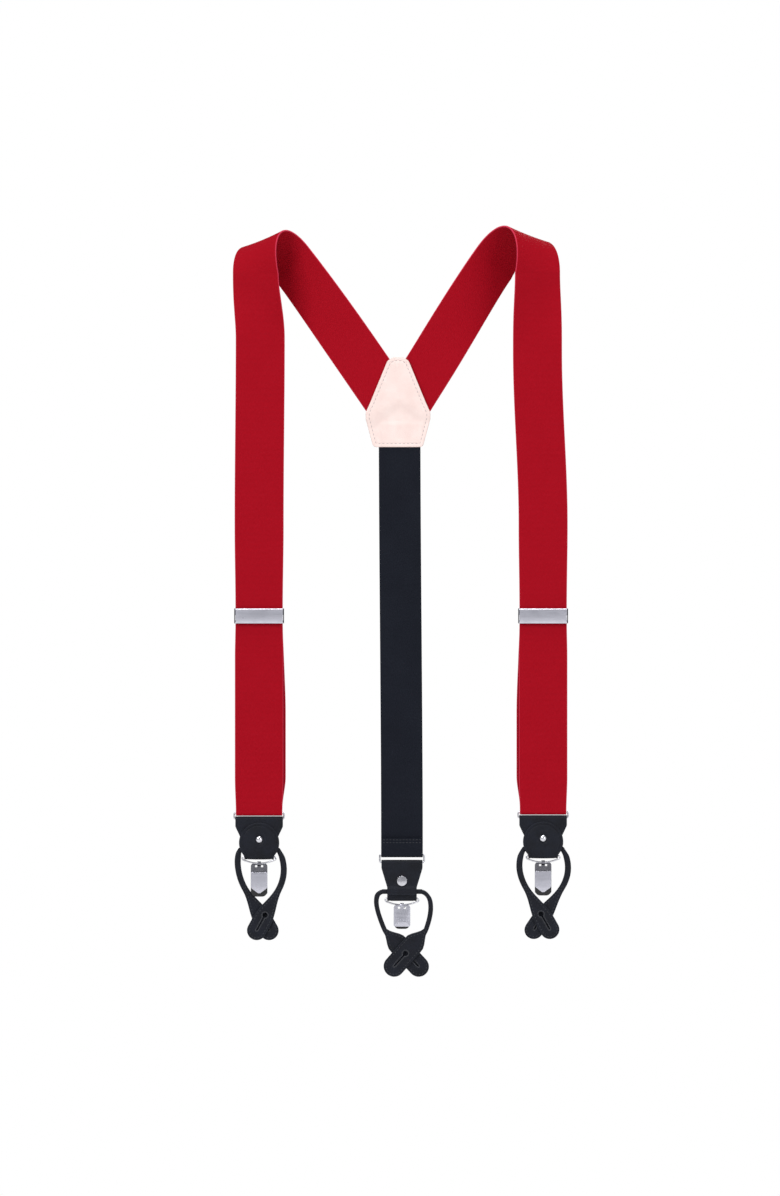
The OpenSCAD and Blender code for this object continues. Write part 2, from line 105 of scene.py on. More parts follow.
# the two shoulder loops, left and right
REACH = (100.0, 101.6)
CREST_TILT = (20.2, 19.0)
CREST_TURN = (21.7, 23.7)
CREST_R = (15.2, 18.0)
CREST_RISE = (1.47, 1.39)
CREST_REACH = (102.4, 97.6)
CREST_Z = (-8.6, -7.9)
TURN_LEN = (46.0, 56.0)
TOP_REACH = (99.2, 97.6)
FALL = (55.5, 57.9)
ENTRY = ((22.9, -77.0), (20.3, -75.3))
LAYER = (-0.7, 0.7)
YOKE_TAIL = 32.0
TRAVEL_TOP = ADJUSTER_Z + 66


# ---------- small maths ----------
def smooth(t):
    t = np.clip(t, 0.0, 1.0)
    return t * t * (3 - 2 * t)


def mix(a, b, t):
    return a + (b - a) * t


def unit(v):
    v = np.asarray(v, float)
    return v / np.linalg.norm(v, axis=-1, keepdims=True)


def arc(centre, r, start, stop, steps):
    a = np.radians(np.linspace(start, stop, steps + 1))
    return np.column_stack([centre[0] + r * np.cos(a), centre[1] + r * np.sin(a)])


def arc_length(points):
    return np.concatenate([[0], np.cumsum(np.linalg.norm(np.diff(points, axis=0), axis=1))])


def resample(points, step, closed=False):
    """The same line with evenly spaced points."""
    points = np.asarray(points, float)
    if closed:
        points = np.vstack([points, points[:1]])
    s = arc_length(points)
    count = max(3, int(round(s[-1] / step)))
    at = np.linspace(0, s[-1], count + 1)
    if closed:
        at = at[:-1]
    return np.column_stack([np.interp(at, s, points[:, k]) for k in range(points.shape[1])])


# ---------- objects ----------
def add_mesh(name, verts, faces, material, body=None, slot=None, uv=None, rim=None):
    mesh = bpy.data.meshes.new(name)
    mesh.from_pydata((np.asarray(verts) * MM).tolist(), [], [list(map(int, f)) for f in faces])
    mesh.materials.append(material)
    mesh.shade_smooth()
    corners = np.zeros(len(mesh.loops), int)
    mesh.loops.foreach_get("vertex_index", corners)
    if uv is not None:
        layer = mesh.uv_layers.new(name="cloth")
        layer.data.foreach_set("uv", (np.asarray(uv)[corners] * MM).ravel())
    if rim is not None:
        mesh.attributes.new("rim", "FLOAT", "POINT").data.foreach_set("value", np.asarray(rim, float))
    piece = bpy.data.objects.new(name, mesh)
    bpy.context.scene.collection.objects.link(piece)
    if body:
        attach(piece, body)
    return piece


def flip_if_inside_out(piece):
    """Turn every face of a closed piece outwards."""
    mesh = bmesh.new()
    mesh.from_mesh(piece.data)
    bmesh.ops.recalc_face_normals(mesh, faces=mesh.faces)
    mesh.to_mesh(piece.data)
    mesh.free()


# ---------- node materials ----------
class Nodes:
    """Short calls that add nodes to one material."""

    def __init__(self, name, color, roughness, metallic=0.0):
        self.material = bpy.data.materials.new(name)
        self.material.use_nodes = True
        self.tree = self.material.node_tree
        self.shader = self.tree.nodes["Principled BSDF"]
        self.set("Base Color", (*color, 1))
        self.set("Roughness", roughness)
        self.set("Metallic", metallic)

    def set(self, socket, value):
        if hasattr(value, "is_output"):
            self.tree.links.new(value, self.shader.inputs[socket])
        else:
            self.shader.inputs[socket].default_value = value

    def add(self, kind, out=0, **inputs):
        node = self.tree.nodes.new(kind)
        for key, value in inputs.items():
            if key in ("operation", "feature", "attribute_name", "attribute_type", "uv_map"):
                setattr(node, key, value)
                continue
            socket = node.inputs[int(key[1:])] if key[0] == "_" else node.inputs[key.replace("__", " ")]
            if hasattr(value, "is_output"):
                self.tree.links.new(value, socket)
            else:
                socket.default_value = value
        return node.outputs[out]

    def math(self, operation, a, b=0.5, c=0.5):
        return self.add("ShaderNodeMath", operation=operation, _0=a, _1=b, _2=c)

    def object_space(self, sx=1.0, sy=1.0, sz=1.0):
        point = self.tree.nodes.new("ShaderNodeTexCoord").outputs["Object"]
        return self.add("ShaderNodeVectorMath", operation="MULTIPLY", _0=point, _1=(sx, sy, sz))

    def cloth_uv(self):
        """The cloth's own coordinates in metres: across and along."""
        point = self.add("ShaderNodeUVMap", uv_map="cloth")
        split = self.tree.nodes.new("ShaderNodeSeparateXYZ")
        self.tree.links.new(point, split.inputs[0])
        return split.outputs[0], split.outputs[1], point

    def rim(self):
        """Distance from the leather's edge, in millimetres."""
        return self.add("ShaderNodeAttribute", out=2, attribute_name="rim", attribute_type="GEOMETRY")

    def noise(self, scale, detail=3.0, roughness=0.55, vector=None):
        vector = vector or self.object_space()
        return self.add("ShaderNodeTexNoise", Vector=vector, Scale=scale, Detail=detail, Roughness=roughness)

    def remap(self, value, low, high, to_low=0.0, to_high=1.0):
        return self.add("ShaderNodeMapRange", Value=value, From__Min=low, From__Max=high,
                        To__Min=to_low, To__Max=to_high)

    def blend(self, factor, a, b, kind="MIX"):
        node = self.tree.nodes.new("ShaderNodeMix")
        node.data_type = "RGBA"
        node.blend_type = kind
        for socket, value in ((node.inputs[0], factor), (node.inputs[6], a), (node.inputs[7], b)):
            if hasattr(value, "is_output"):
                self.tree.links.new(value, socket)
            else:
                socket.default_value = (*value, 1) if isinstance(value, tuple) else value
        return node.outputs[2]

    def bump(self, *layers):
        """Each layer is a height socket and its depth in metres."""
        normal = None
        for height, depth in layers:
            node = self.tree.nodes.new("ShaderNodeBump")
            node.inputs["Distance"].default_value = depth
            self.tree.links.new(height, node.inputs["Height"])
            if normal is not None:
                self.tree.links.new(normal, node.inputs["Normal"])
            normal = node.outputs[0]
        self.set("Normal", normal)


TWO_PI = 2 * math.pi


def ribs(n, value, period, sharpness=1.0):
    """Even ridges from 0 to 1 along a coordinate in metres."""
    turn = n.math("MULTIPLY", value, TWO_PI / period)
    wave = n.math("MULTIPLY_ADD", n.math("SINE", turn), 0.5, 0.5)
    return n.math("POWER", wave, sharpness)


def webbing_material(name, color, fibre_and_highlight_color, trough_shade_and_mottle_color, width, rib, sheen):
    """Woven cloth: crosswise ribs, lengthwise warp threads, a painted highlight along the selvedge."""
    n = Nodes(name, color, 0.62)
    across, along, point = n.cloth_uv()
    weft = ribs(n, along, rib, 0.8)
    shifted = n.math("ADD", along, n.math("MULTIPLY", n.math("SIGN", n.math("SINE", n.math(
        "MULTIPLY", across, TWO_PI / 0.0009))), rib / 4))
    warp = ribs(n, across, 0.00045, 0.8)
    cells = n.math("MULTIPLY", ribs(n, shifted, rib, 0.8), warp)
    fine = n.add("ShaderNodeVectorMath", operation="MULTIPLY", _0=point, _1=(3200.0, 500.0, 1.0))
    fibre = n.add("ShaderNodeTexNoise", Vector=fine, Scale=1.0, Detail=3.0)
    cloud = n.noise(55.0, 4.0)
    # painted shade: the troughs between the weft ribs are painted darker; the random cloud below darkens real
    # tone
    shade = n.blend(n.remap(weft, 0.0, 0.55), trough_shade_and_mottle_color, color)
    shade = n.blend(n.remap(fibre, 0.35, 0.7, 0.0, 0.06), shade, fibre_and_highlight_color)
    shade = n.blend(n.remap(cloud, 0.3, 0.7, 0.16, 0.0), shade, trough_shade_and_mottle_color)
    # painted highlight: the selvedge is painted lighter, for the light its rounded edge catches
    edge = n.remap(n.math("ABSOLUTE", across), width / 2 - 0.0006, width / 2 - 0.0001)
    shade = n.blend(n.math("MULTIPLY", edge, 0.75), shade, fibre_and_highlight_color)
    n.set("Base Color", shade)
    n.set("Roughness", n.remap(cells, 0.0, 1.0, 0.72, 0.5))
    n.set("Specular IOR Level", 0.03)
    n.set("Sheen Weight", sheen)
    n.set("Sheen Roughness", 0.35)
    n.set("Sheen Tint", (*fibre_and_highlight_color, 1))
    n.bump((weft, 0.00007), (cells, 0.00005), (fibre, 0.00002))
    return n.material


def elastic_material():
    """Knitted elastic: lengthwise ribs that the mesh has, with small stitches on them and painted shade
    between the stitches.
    """
    n = Nodes("black_elastic_cloth", (0.010, 0.012, 0.018), 0.8)
    across, along, point = n.cloth_uv()
    zigzag = n.math("MULTIPLY", n.math("SINE", n.math("MULTIPLY", across, TWO_PI / 0.00125)), 0.00022)
    knit = ribs(n, n.math("ADD", along, zigzag), 0.0008, 0.9)
    fine = n.add("ShaderNodeVectorMath", operation="MULTIPLY", _0=point, _1=(2600.0, 900.0, 1.0))
    fibre = n.add("ShaderNodeTexNoise", Vector=fine, Scale=1.0, Detail=3.0)
    cloud = n.noise(40.0, 4.0)
    # painted shade: the gaps between the knit's stitches are painted darker
    shade = n.blend(n.remap(knit, 0.0, 0.6), (0.006, 0.007, 0.011), (0.012, 0.014, 0.021))
    shade = n.blend(n.remap(fibre, 0.4, 0.75, 0.0, 0.4), shade, (0.024, 0.027, 0.036))
    shade = n.blend(n.remap(cloud, 0.35, 0.7, 0.3, 0.0), shade, (0.006, 0.007, 0.011))
    n.set("Base Color", shade)
    n.set("Specular IOR Level", 0.04)
    n.set("Sheen Weight", 0.01)
    n.set("Sheen Tint", (0.4, 0.45, 0.6, 1))
    n.bump((knit, 0.0001), (fibre, 0.00006))
    return n.material


def leather_material(name, color, light, dark, roughness, grain=1.0, edge=0.0, gloss=0.12):
    """Grained leather, with painted shade in the grain's furrows. Edges are burnished darker or worn lighter,
    by the mesh's own rim distance.
    """
    n = Nodes(name, color, roughness)
    point = n.object_space()
    cell = n.add("ShaderNodeTexVoronoi", Vector=point, Scale=1500.0 / grain, feature="DISTANCE_TO_EDGE")
    fine = n.noise(2600.0 / grain, 4.0, 0.6, point)
    cloud = n.noise(90.0, 5.0, 0.6, point)
    grain_height = n.remap(cell, 0.0, 0.22)
    shade = n.blend(n.remap(cloud, 0.3, 0.7), dark, color)
    shade = n.blend(n.remap(fine, 0.45, 0.8, 0.0, 0.3), shade, light)
    # painted shade: the grain's furrows are painted darker
    shade = n.blend(n.remap(grain_height, 0.0, 1.0, 0.25, 0.0), shade, dark)
    worn = n.remap(n.rim(), 0.75, 0.05)
    patchy = n.math("MULTIPLY", worn, n.remap(n.noise(420.0, 3.0), 0.35, 0.65, 0.35, 1.0))
    shade = n.blend(n.math("MULTIPLY", patchy, abs(edge)), shade, light if edge > 0 else dark)
    n.set("Base Color", shade)
    n.set("Roughness", n.math("ADD", n.remap(cloud, 0.3, 0.7, -0.06, 0.08), n.remap(
        grain_height, 0.0, 1.0, roughness + 0.14, roughness)))
    n.set("Specular IOR Level", gloss)
    n.bump((grain_height, 0.00005 * grain), (fine, 0.00003))
    return n.material


def metal_material(name, color, roughness, brushed=(1.0, 1.0, 1.0), scratch=0.25):
    """Plated metal: faint brushing, tarnish in patches and a few fine scratches."""
    n = Nodes(name, color, roughness, 1.0)
    lines = n.noise(900.0, 4.0, 0.6, n.object_space(*brushed))
    cloud = n.noise(160.0, 4.0, 0.6)
    dark = tuple(c * 0.72 for c in color)
    n.set("Base Color", n.blend(n.remap(cloud, 0.35, 0.7, 0.0, 0.45), color, dark))
    n.set("Roughness", n.math("ADD", n.remap(cloud, 0.3, 0.7, roughness, roughness + 0.1), n.remap(
        lines, 0.3, 0.7, -0.02, 0.05)))
    n.bump((lines, 0.000012 * scratch), (cloud, 0.00002 * scratch))
    return n.material


def thread_material(name, color, light):
    """Twisted sewing thread."""
    n = Nodes(name, color, 0.55)
    twist = n.noise(3800.0, 3.0, 0.6, n.object_space(1.0, 1.0, 0.55))
    n.set("Base Color", n.blend(n.remap(twist, 0.35, 0.65), color, light))
    n.set("Sheen Weight", 0.15)
    n.bump((twist, 0.00005))
    return n.material


def plastic_material(name, color, roughness):
    """Moulded plastic with a fine eggshell surface."""
    n = Nodes(name, color, roughness)
    egg = n.noise(3000.0, 2.0)
    cloud = n.noise(220.0, 4.0)
    light = tuple(c * 1.9 for c in color)
    n.set("Base Color", n.blend(n.remap(cloud, 0.35, 0.7, 0.0, 0.6), color, light))
    n.set("Roughness", n.remap(cloud, 0.3, 0.7, roughness - 0.05, roughness + 0.08))
    n.bump((egg, 0.00002))
    return n.material


# Red webbing: its second colour also paints the highlight along the selvedge, and its third colour the
# painted shade in the rib troughs.
RED = webbing_material("red_webbing_cloth", (0.34, 0.0028, 0.0105), (0.62, 0.05, 0.1),
                       (0.27, 0.0016, 0.0065), STRAP_W * MM, 0.00085, 0.018)
ELASTIC = elastic_material()
BLACK_LEATHER = leather_material("black_leather_grain", (0.0085, 0.0105, 0.0185), (0.030, 0.034, 0.048),
                                 (0.004, 0.0045, 0.007), 0.42, 1.0, 0.45, 0.16)
PALE_LEATHER = leather_material("pale_leather_grain", (0.871, 0.73, 0.69), (0.93, 0.83, 0.8),
                                (0.80, 0.63, 0.59), 0.5, 1.1, -0.55)
CHROME = metal_material("chrome_plate", (0.70, 0.70, 0.75), 0.16)
NICKEL = metal_material("brushed_nickel_plate", (0.66, 0.66, 0.74), 0.27, (0.06, 1.0, 1.0), 1.0)
# Painted reflection: a darkened copy of the chrome, standing in for the dark surroundings that the clip
# bodies and jaws reflect.
SHADED_CHROME = metal_material("chrome_plate_painted_dark_reflection", (0.26, 0.26, 0.29), 0.2)
# Painted shade: a darker copy of the nickel for the adjuster frames, so that their ends show as black lines.
SHADED_NICKEL = metal_material("nickel_plate_painted_shade", (0.10, 0.10, 0.115), 0.3)
SPRING = metal_material("spring_steel_wire", (0.42, 0.42, 0.45), 0.32)
PLASTIC = plastic_material("black_plastic_pad", (0.006, 0.006, 0.007), 0.45)
BLACK_THREAD = thread_material("black_thread", (0.014, 0.015, 0.019), (0.045, 0.048, 0.058))
# The lining's thread: partly its own greyish pink, and partly painted shade of the groove it lies in.
SHADED_PINK_THREAD = thread_material("blush_thread_and_groove_shade", (0.36, 0.30, 0.31), (0.5, 0.43, 0.43))


# ---------- ribbons of webbing ----------
def web_section(selvedge, ridge=0.0, pitch=1.25, width=STRAP_W):
    """Half of a ribbon's cross-section as rows of (side, inset from the edge, height), top then bottom."""
    half = WEB_T / 2
    bead = [(0.0, 0.0), (0.06, 0.55), (0.2, 0.85), (0.5, 1.0), (0.85, 0.99), (1.15, 1.0 - selvedge),
            (1.5, 0.99)]
    steps = 15 if ridge == 0 else int(width / pitch) * 5
    inner = np.linspace(2.0, width - 2.0, steps)
    top = [(-1, i, h * half) for i, h in bead]
    top += [(-1, i, half - ridge + ridge * math.cos(TWO_PI * i / pitch)) for i in inner]
    top += [(1, i, h * half) for i, h in reversed(bead)]
    bottom = [(s, i, -h) for s, i, h in reversed(top[1:-1])]
    return np.array(top + bottom), width


def ribbon(name, centre, across, width, section, material):
    """A closed ribbon along centre, with the cross-section turned to each row."""
    rows, full = section
    along = unit(np.gradient(centre, axis=0))
    normal = unit(np.cross(along, across))
    side, inset, height = rows.T
    reach = side * full / 2 - side * inset
    offset = reach[None, :] * (width[:, None] / full)
    verts = centre[:, None, :] + across[:, None, :] * offset[..., None]
    verts = verts + normal[:, None, :] * height[None, :, None]
    count, ring = verts.shape[:2]
    run = arc_length(centre)
    uv = np.stack([np.broadcast_to(reach, (count, ring)), np.broadcast_to(run[:, None], (count, ring))], -1)
    grid = np.arange(count * ring).reshape(count, ring)
    nxt = np.roll(grid, -1, axis=1)
    faces = np.stack([grid[:-1], nxt[:-1], nxt[1:], grid[1:]], -1).reshape(-1, 4).tolist()
    # the ends: quads between the top and the bottom of the section
    top = (ring + 2) // 2
    for row, flip in ((grid[0], False), (grid[-1], True)):
        upper = row[:top]
        lower = np.concatenate([row[:1], row[top:][::-1], row[top - 1:top]])
        for i in range(top - 1):
            quad = [upper[i], upper[i + 1], lower[i + 1], lower[i]]
            quad = [q for k, q in enumerate(quad) if q not in quad[:k]]
            faces.append(quad[::-1] if flip else quad)
    piece = add_mesh(name, verts.reshape(-1, 3), faces, material, uv=uv.reshape(-1, 2))
    return piece, run[-1]


def front_row(s, z):
    start = CREST_Z[s] - TURN_LEN[s]
    t = smooth((z - start) / TURN_LEN[s])
    if z < start:
        u = mix(REACH[s], TOP_REACH[s], smooth((z - TRAVEL_TOP) / (start - TRAVEL_TOP)))
    else:
        u = mix(TOP_REACH[s], CREST_REACH[s], t)
    a = math.radians(CREST_TURN[s]) * t
    width = mix(CINCHED_W, STRAP_W, smooth((z - ADJUSTER_Z - 4) / 60))
    return [u, FRONT_Y, z], [-math.cos(a), -math.sin(a), 0], width


def crest_frame(s):
    tilt, turn = math.radians(CREST_TILT[s]), math.radians(CREST_TURN[s])
    axis = np.array([-math.cos(tilt) * math.cos(turn), -math.cos(tilt) * math.sin(turn), math.sin(tilt)])
    out = np.array([math.sin(turn), -math.cos(turn), 0])
    up = unit(np.array([0, 0, 1]) - math.sin(tilt) * axis)
    return axis, out, up, tilt


def crest_row(s, angle):
    axis, out, up, tilt = crest_frame(s)
    a, r = math.radians(angle), CREST_R[s]
    middle = np.array([CREST_REACH[s], FRONT_Y, CREST_Z[s]]) - r * out
    way = -math.sin(a) * out + math.cos(a) * up
    point = (middle + r * math.cos(a) * out + CREST_RISE[s] * r * math.sin(a) * up
             + r * a * math.tan(tilt) * axis)
    return point, math.cos(tilt) * axis - math.sin(tilt) * way, STRAP_W


def fall_row(s, t):
    first, across, width = crest_row(s, 180)
    axis = crest_frame(s)[0]
    fall = math.radians(FALL[s])
    down = np.array([-math.cos(fall), 0, -math.sin(fall)])
    entry = np.array([ENTRY[s][0], BACK_Y + LAYER[s], ENTRY[s][1]])
    level = np.array([-math.sin(fall), 0, math.cos(fall)])
    if t > 1:
        return entry + (t - 1) * YOKE_TAIL * down, level, STRAP_W
    pull = np.linalg.norm(entry - first) * 0.7
    way = 2 * axis[2] * axis - np.array([0, 0, 1])
    point = ((2 * t**3 - 3 * t**2 + 1) * first + (t**3 - 2 * t**2 + t) * pull * way
             + (3 * t**2 - 2 * t**3) * entry + (t**3 - t**2) * pull * down)
    return point, unit(mix(across, level, smooth(t))), STRAP_W


def front_web(s):
    """From the adjuster up over the shoulder and down into the yoke."""
    hand = (-1, 1)[s]
    rows = [front_row(s, z) for z in np.arange(ADJUSTER_Z + 1.2, CREST_Z[s], 1.6)]
    rows += [crest_row(s, a) for a in np.linspace(0, 180, 64)]
    rows += [fall_row(s, t) for t in np.linspace(0.02, 1, 60)]
    rows += [fall_row(s, t) for t in np.linspace(1.1, 1.8, 8)]
    centre = np.array([r[0] for r in rows]) * [hand, 1, 1]
    across = unit(np.array([r[1] for r in rows]) * [hand, 1, 1])
    width = np.array([r[2] for r in rows])
    name = f"{SIDES[s]}_front_web"
    if s == 0:
        across = -across
    piece, length = ribbon(name, centre, across, width, web_section(0.12), RED)
    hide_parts(f"{SIDES[s]}_strap")
    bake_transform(piece)


def loop_web(s):
    """The doubled stretch: down from the adjuster, round the ring's bar and up to the adjuster's bar."""
    ring = ring_point(s)
    bar_y = ADJUSTER_BAR[0] - BAR_OFFSET
    bar_z = ADJUSTER_Z + ADJUSTER_BAR[1] - ring[2]
    hem_r = 0.9 + WEB_T / 2
    top = ADJUSTER_Z + 1.0 - ring[2]
    down = np.column_stack([np.full(70, -BAR_OFFSET), np.linspace(top, 0.6, 70)])
    up = np.array([[BAR_OFFSET, 0.8], [BAR_OFFSET, bar_z - 36], [BAR_OFFSET + 0.15, bar_z - 26],
                   [BAR_OFFSET + 0.3, bar_z - 8], [bar_y + hem_r - 0.1, bar_z - 1.6]])
    hem = np.array([[bar_y - hem_r, bar_z - 1], [bar_y - hem_r, bar_z - 14]])
    route = np.vstack([down, arc((0, 0), BAR_OFFSET, 180, 360, 24), resample(up, 1.8),
                       arc((bar_y, bar_z), hem_r, 0, 180, 20), resample(hem, 1.5)])
    behind = smooth((route[:, 1] - 4) / 22) * smooth((bar_z - 6 - route[:, 1]) / 60) * (route[:, 0] > 0)
    x = ring[0] + (1, -1)[s] * BEHIND_SHIFT * behind
    centre = np.column_stack([x, ring[1] + route[:, 0], ring[2] + route[:, 1]])
    across = np.tile([1.0, 0, 0], (len(route), 1))
    high = smooth(route[:, 1] / 25)
    low = smooth((bar_z - route[:, 1]) / 25)
    width = mix(RING_W, LOOP_W, high)
    width = np.minimum(width, mix(CINCHED_W, LOOP_W, low))
    side = SIDES[s]
    piece, length = ribbon(f"{side}_loop_web", centre, across, width, web_section(0.12), RED)
    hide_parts(f"{side}_strap_loop")
    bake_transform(piece)


def ring_point(e):
    """Middle of a strap ring's upper bar."""
    lo, hi = node_box(f"{ENDS[e]}_strap_ring")
    return np.array([(lo[0] + hi[0]) / 2, (lo[1] + hi[1]) / 2, hi[2] - WIRE_R])


# ---------- leather ----------
def face_loops(node, side):
    """Outlines in X and Z of a CAD plate's face that looks along side times Y; the outside loop first."""
    mesh = bmesh.new()
    mesh.from_mesh(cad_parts[node].data)
    bmesh.ops.remove_doubles(mesh, verts=mesh.verts, dist=1e-6)
    mesh.normal_update()
    flat = {f for f in mesh.faces if f.normal.y * side > 0.99}
    follow = {}
    for f in flat:
        for loop in f.loops:
            if not any(other in flat for other in loop.edge.link_faces if other is not f):
                follow[loop.vert.index] = (loop.link_loop_next.vert.index, loop.vert.co.copy())
    loops = []
    while follow:
        first = next(iter(follow))
        at, points = first, []
        while at in follow:
            at_next, co = follow.pop(at)
            points.append((co.x / MM, co.z / MM))
            at = at_next
        loops.append(np.array(points))
    mesh.free()
    loops.sort(key=lambda p: -np.ptp(p[:, 0]) * np.ptp(p[:, 1]))
    return loops


def signed_area(p):
    x, y = p.T
    return 0.5 * float(np.sum(x * np.roll(y, -1) - np.roll(x, -1) * y))


def distance(points, loops):
    """Distance from each point to the nearest outline."""
    best = np.full(len(points), 1e9)
    for loop in loops:
        a, b = loop, np.roll(loop, -1, axis=0)
        for i in range(0, len(points), 400):
            p = points[i:i + 400, None, :]
            ab = (b - a)[None]
            t = np.clip(((p - a[None]) * ab).sum(-1) / np.maximum((ab * ab).sum(-1), 1e-12), 0, 1)
            best[i:i + 400] = np.minimum(best[i:i + 400], np.linalg.norm(
                p - a[None] - t[..., None] * ab, axis=-1).min(1))
    return best


def inside(points, loop):
    a, b = loop, np.roll(loop, -1, axis=0)
    x, y = points[:, 0:1], points[:, 1:2]
    cross = (a[:, 1] > y) != (b[:, 1] > y)
    with np.errstate(divide="ignore", invalid="ignore"):
        at = (b[:, 0] - a[:, 0]) * (y - a[:, 1]) / (b[:, 1] - a[:, 1]) + a[:, 0]
    return (np.sum(cross & (x < at), axis=1) % 2) == 1


def inset(loop, depth, loops):
    """The outline moved inwards by depth, without the points that come too near another edge."""
    way = unit(np.roll(loop, -1, axis=0) - np.roll(loop, 1, axis=0))
    turn = 1 if signed_area(loop) > 0 else -1
    if loop is not loops[0]:
        turn = -turn
    points = loop + depth * turn * np.column_stack([-way[:, 1], way[:, 0]])
    keep = distance(points, loops) > depth * 0.97
    return points, keep


EDGE_STEPS = (0.06, 0.2, 0.42, 0.7, 1.0)


def leather(name, loops, place, material, slot, body, thickness=LEATHER_T, rim=0.5, crease=1.6, groove=0.14,
            step=1.0, shape=None, back_crease=True, edge_step=0.6):
    """A leather piece with rounded edges and a pressed line along its edge.

    place(points, height) turns flat points and heights above the middle layer into places.
    shape(points) gives (half thickness, rim width) per point where they vary.
    """
    loops = [resample(p, edge_step, closed=True) for p in loops]
    depths = [rim * k for k in EDGE_STEPS]
    if crease:
        depths += [crease + k for k in (-0.4, -0.18, 0.0, 0.18, 0.4)]
    cloud = []
    for depth in depths:
        for loop in loops:
            points, keep = inset(loop, depth, loops)
            cloud.append(points[keep])
    lo, hi = loops[0].min(0), loops[0].max(0)
    xs, zs = np.meshgrid(np.arange(lo[0], hi[0], step), np.arange(lo[1], hi[1], step * 0.87))
    xs[1::2] += step / 2
    grid = np.column_stack([xs.ravel(), zs.ravel()])
    grid = grid[inside(grid, loops[0])]
    for hole in loops[1:]:
        grid = grid[~inside(grid, hole)]
    cloud.append(grid[distance(grid, loops) > depths[-1] + step * 0.45])
    outline = np.vstack(loops)
    edges, start = [], 0
    for loop in loops:
        edges += [(start + i, start + (i + 1) % len(loop)) for i in range(len(loop))]
        start += len(loop)
    points = np.vstack([outline, *cloud])
    verts, _, tris, *_ = delaunay_2d_cdt([Vector(p) for p in points], edges, [], 2, 1e-4)
    points = np.array([tuple(v) for v in verts])
    tris = np.array([list(t) for t in tris])
    a, b, c = (points[tris[:, k]] for k in range(3))
    wrong = np.cross(b - a, c - a) < 0
    tris[wrong] = tris[wrong][:, ::-1]
    return plate_from(name, points, tris, loops, place, material, slot, body, thickness, rim, crease, groove,
                      shape, back_crease)


def edge_height(depth, half, rim):
    k = 1 - np.clip(depth / rim, 0, 1)
    return half * np.sqrt(np.maximum(1 - k * k, 0))


def plate_from(name, points, tris, loops, place, material, slot, body, thickness, rim, crease, groove, shape,
               back_crease):
    depth = distance(points, loops)
    half = np.full(len(points), thickness / 2)
    rims = np.full(len(points), rim)
    if shape:
        half, rims = shape(points)
    height = edge_height(depth, half, rims)
    dent = groove * np.exp(-(((depth - crease) / 0.2) ** 2)) if crease else 0
    edge = depth < 1e-3
    inner = np.flatnonzero(~edge)
    twin = np.arange(len(points))
    twin[inner] = len(points) + np.arange(len(inner))
    front = place(points, height - dent)
    back = place(points, -height + (dent if back_crease else 0))[inner]
    faces = np.vstack([tris, twin[tris][:, ::-1]])
    verts = np.vstack([front, back])
    mesh = add_mesh(name, verts, faces, material, body, slot, rim=np.concatenate([depth, depth[inner]]))
    return mesh


# ---------- stitching ----------
def stitches(name, runs, material, slot, body, pitch=2.6, length=1.9, radius=0.22, rise=0.1, cross_way=False):
    """Single stitches along runs of (points, outward normals). They lie half sunk in the leather."""
    verts, faces = [], []
    turns = np.radians(np.arange(6) * 60)
    along = np.array([-1, -0.82, -0.4, 0, 0.4, 0.82, 1.0])
    thick = np.array([0.25, 0.75, 1.0, 1.0, 1.0, 0.75, 0.25])
    lift = np.array([-1.0, -0.35, 0.0, 0.05, 0.0, -0.35, -1.0]) * radius
    for points, normals in runs:
        s = arc_length(points)
        count = int(s[-1] / pitch)
        if count < 1:
            continue
        at = (np.arange(count) + 0.5) * s[-1] / count
        centre = np.column_stack([np.interp(at, s, points[:, k]) for k in range(3)])
        ahead = np.column_stack([np.interp(at + 0.3, s, points[:, k]) for k in range(3)])
        behind = np.column_stack([np.interp(at - 0.3, s, points[:, k]) for k in range(3)])
        up = unit(np.column_stack([np.interp(at, s, normals[:, k]) for k in range(3)]))
        way = unit(ahead - behind)
        side = unit(np.cross(way, up))
        if cross_way:
            way, side = side, way
        for c, w, n, b in zip(centre, way, up, side):
            base = len(verts)
            for u, r, h in zip(along, thick, lift):
                mid = c + w * u * length / 2 + n * (rise - radius + h)
                verts += [mid + radius * r * (math.cos(t) * b + math.sin(t) * n) for t in turns]
            for k in range(len(along) - 1):
                for i in range(6):
                    j = (i + 1) % 6
                    q = base + 6 * k
                    faces.append((q + i, q + j, q + 6 + j, q + 6 + i))
            faces.append(tuple(base + i for i in reversed(range(6))))
            faces.append(tuple(base + 6 * (len(along) - 1) + i for i in range(6)))
    piece = add_mesh(name, verts, faces, material, body, slot)
    flip_if_inside_out(piece)
    return piece


def seam_runs(loops, depth, place, half, side, keep_if=None):
    """Runs along the outline at that depth, on the leather's front (side 1) or back (side -1)."""
    runs = []
    loop = resample(loops[0], 0.5, closed=True)
    points, keep = inset(loop, depth, [loop, *loops[1:]])
    if keep_if is not None:
        keep = keep & keep_if(points)
    if keep.all():
        points = np.vstack([points, points[:1]])
        groups = [points]
    else:
        first = int(np.flatnonzero(~keep)[0])
        order = np.roll(np.arange(len(points)), -first)
        groups, run = [], []
        for i in order:
            if keep[i]:
                run.append(points[i])
            elif run:
                groups.append(np.array(run))
                run = []
        if run:
            groups.append(np.array(run))
    for group in groups:
        if len(group) < 8:
            continue
        thick = half(group) if callable(half) else np.full(len(group), half)
        low, high = place(group, side * thick), place(group, side * (thick + 0.3))
        runs.append((low, unit(high - low)))
    return runs


# ---------- the yoke ----------
SEAM_IN = 2.6  # from the patch's edge to its stitches and the line pressed beside them
SEAM_GROOVE = 0.22


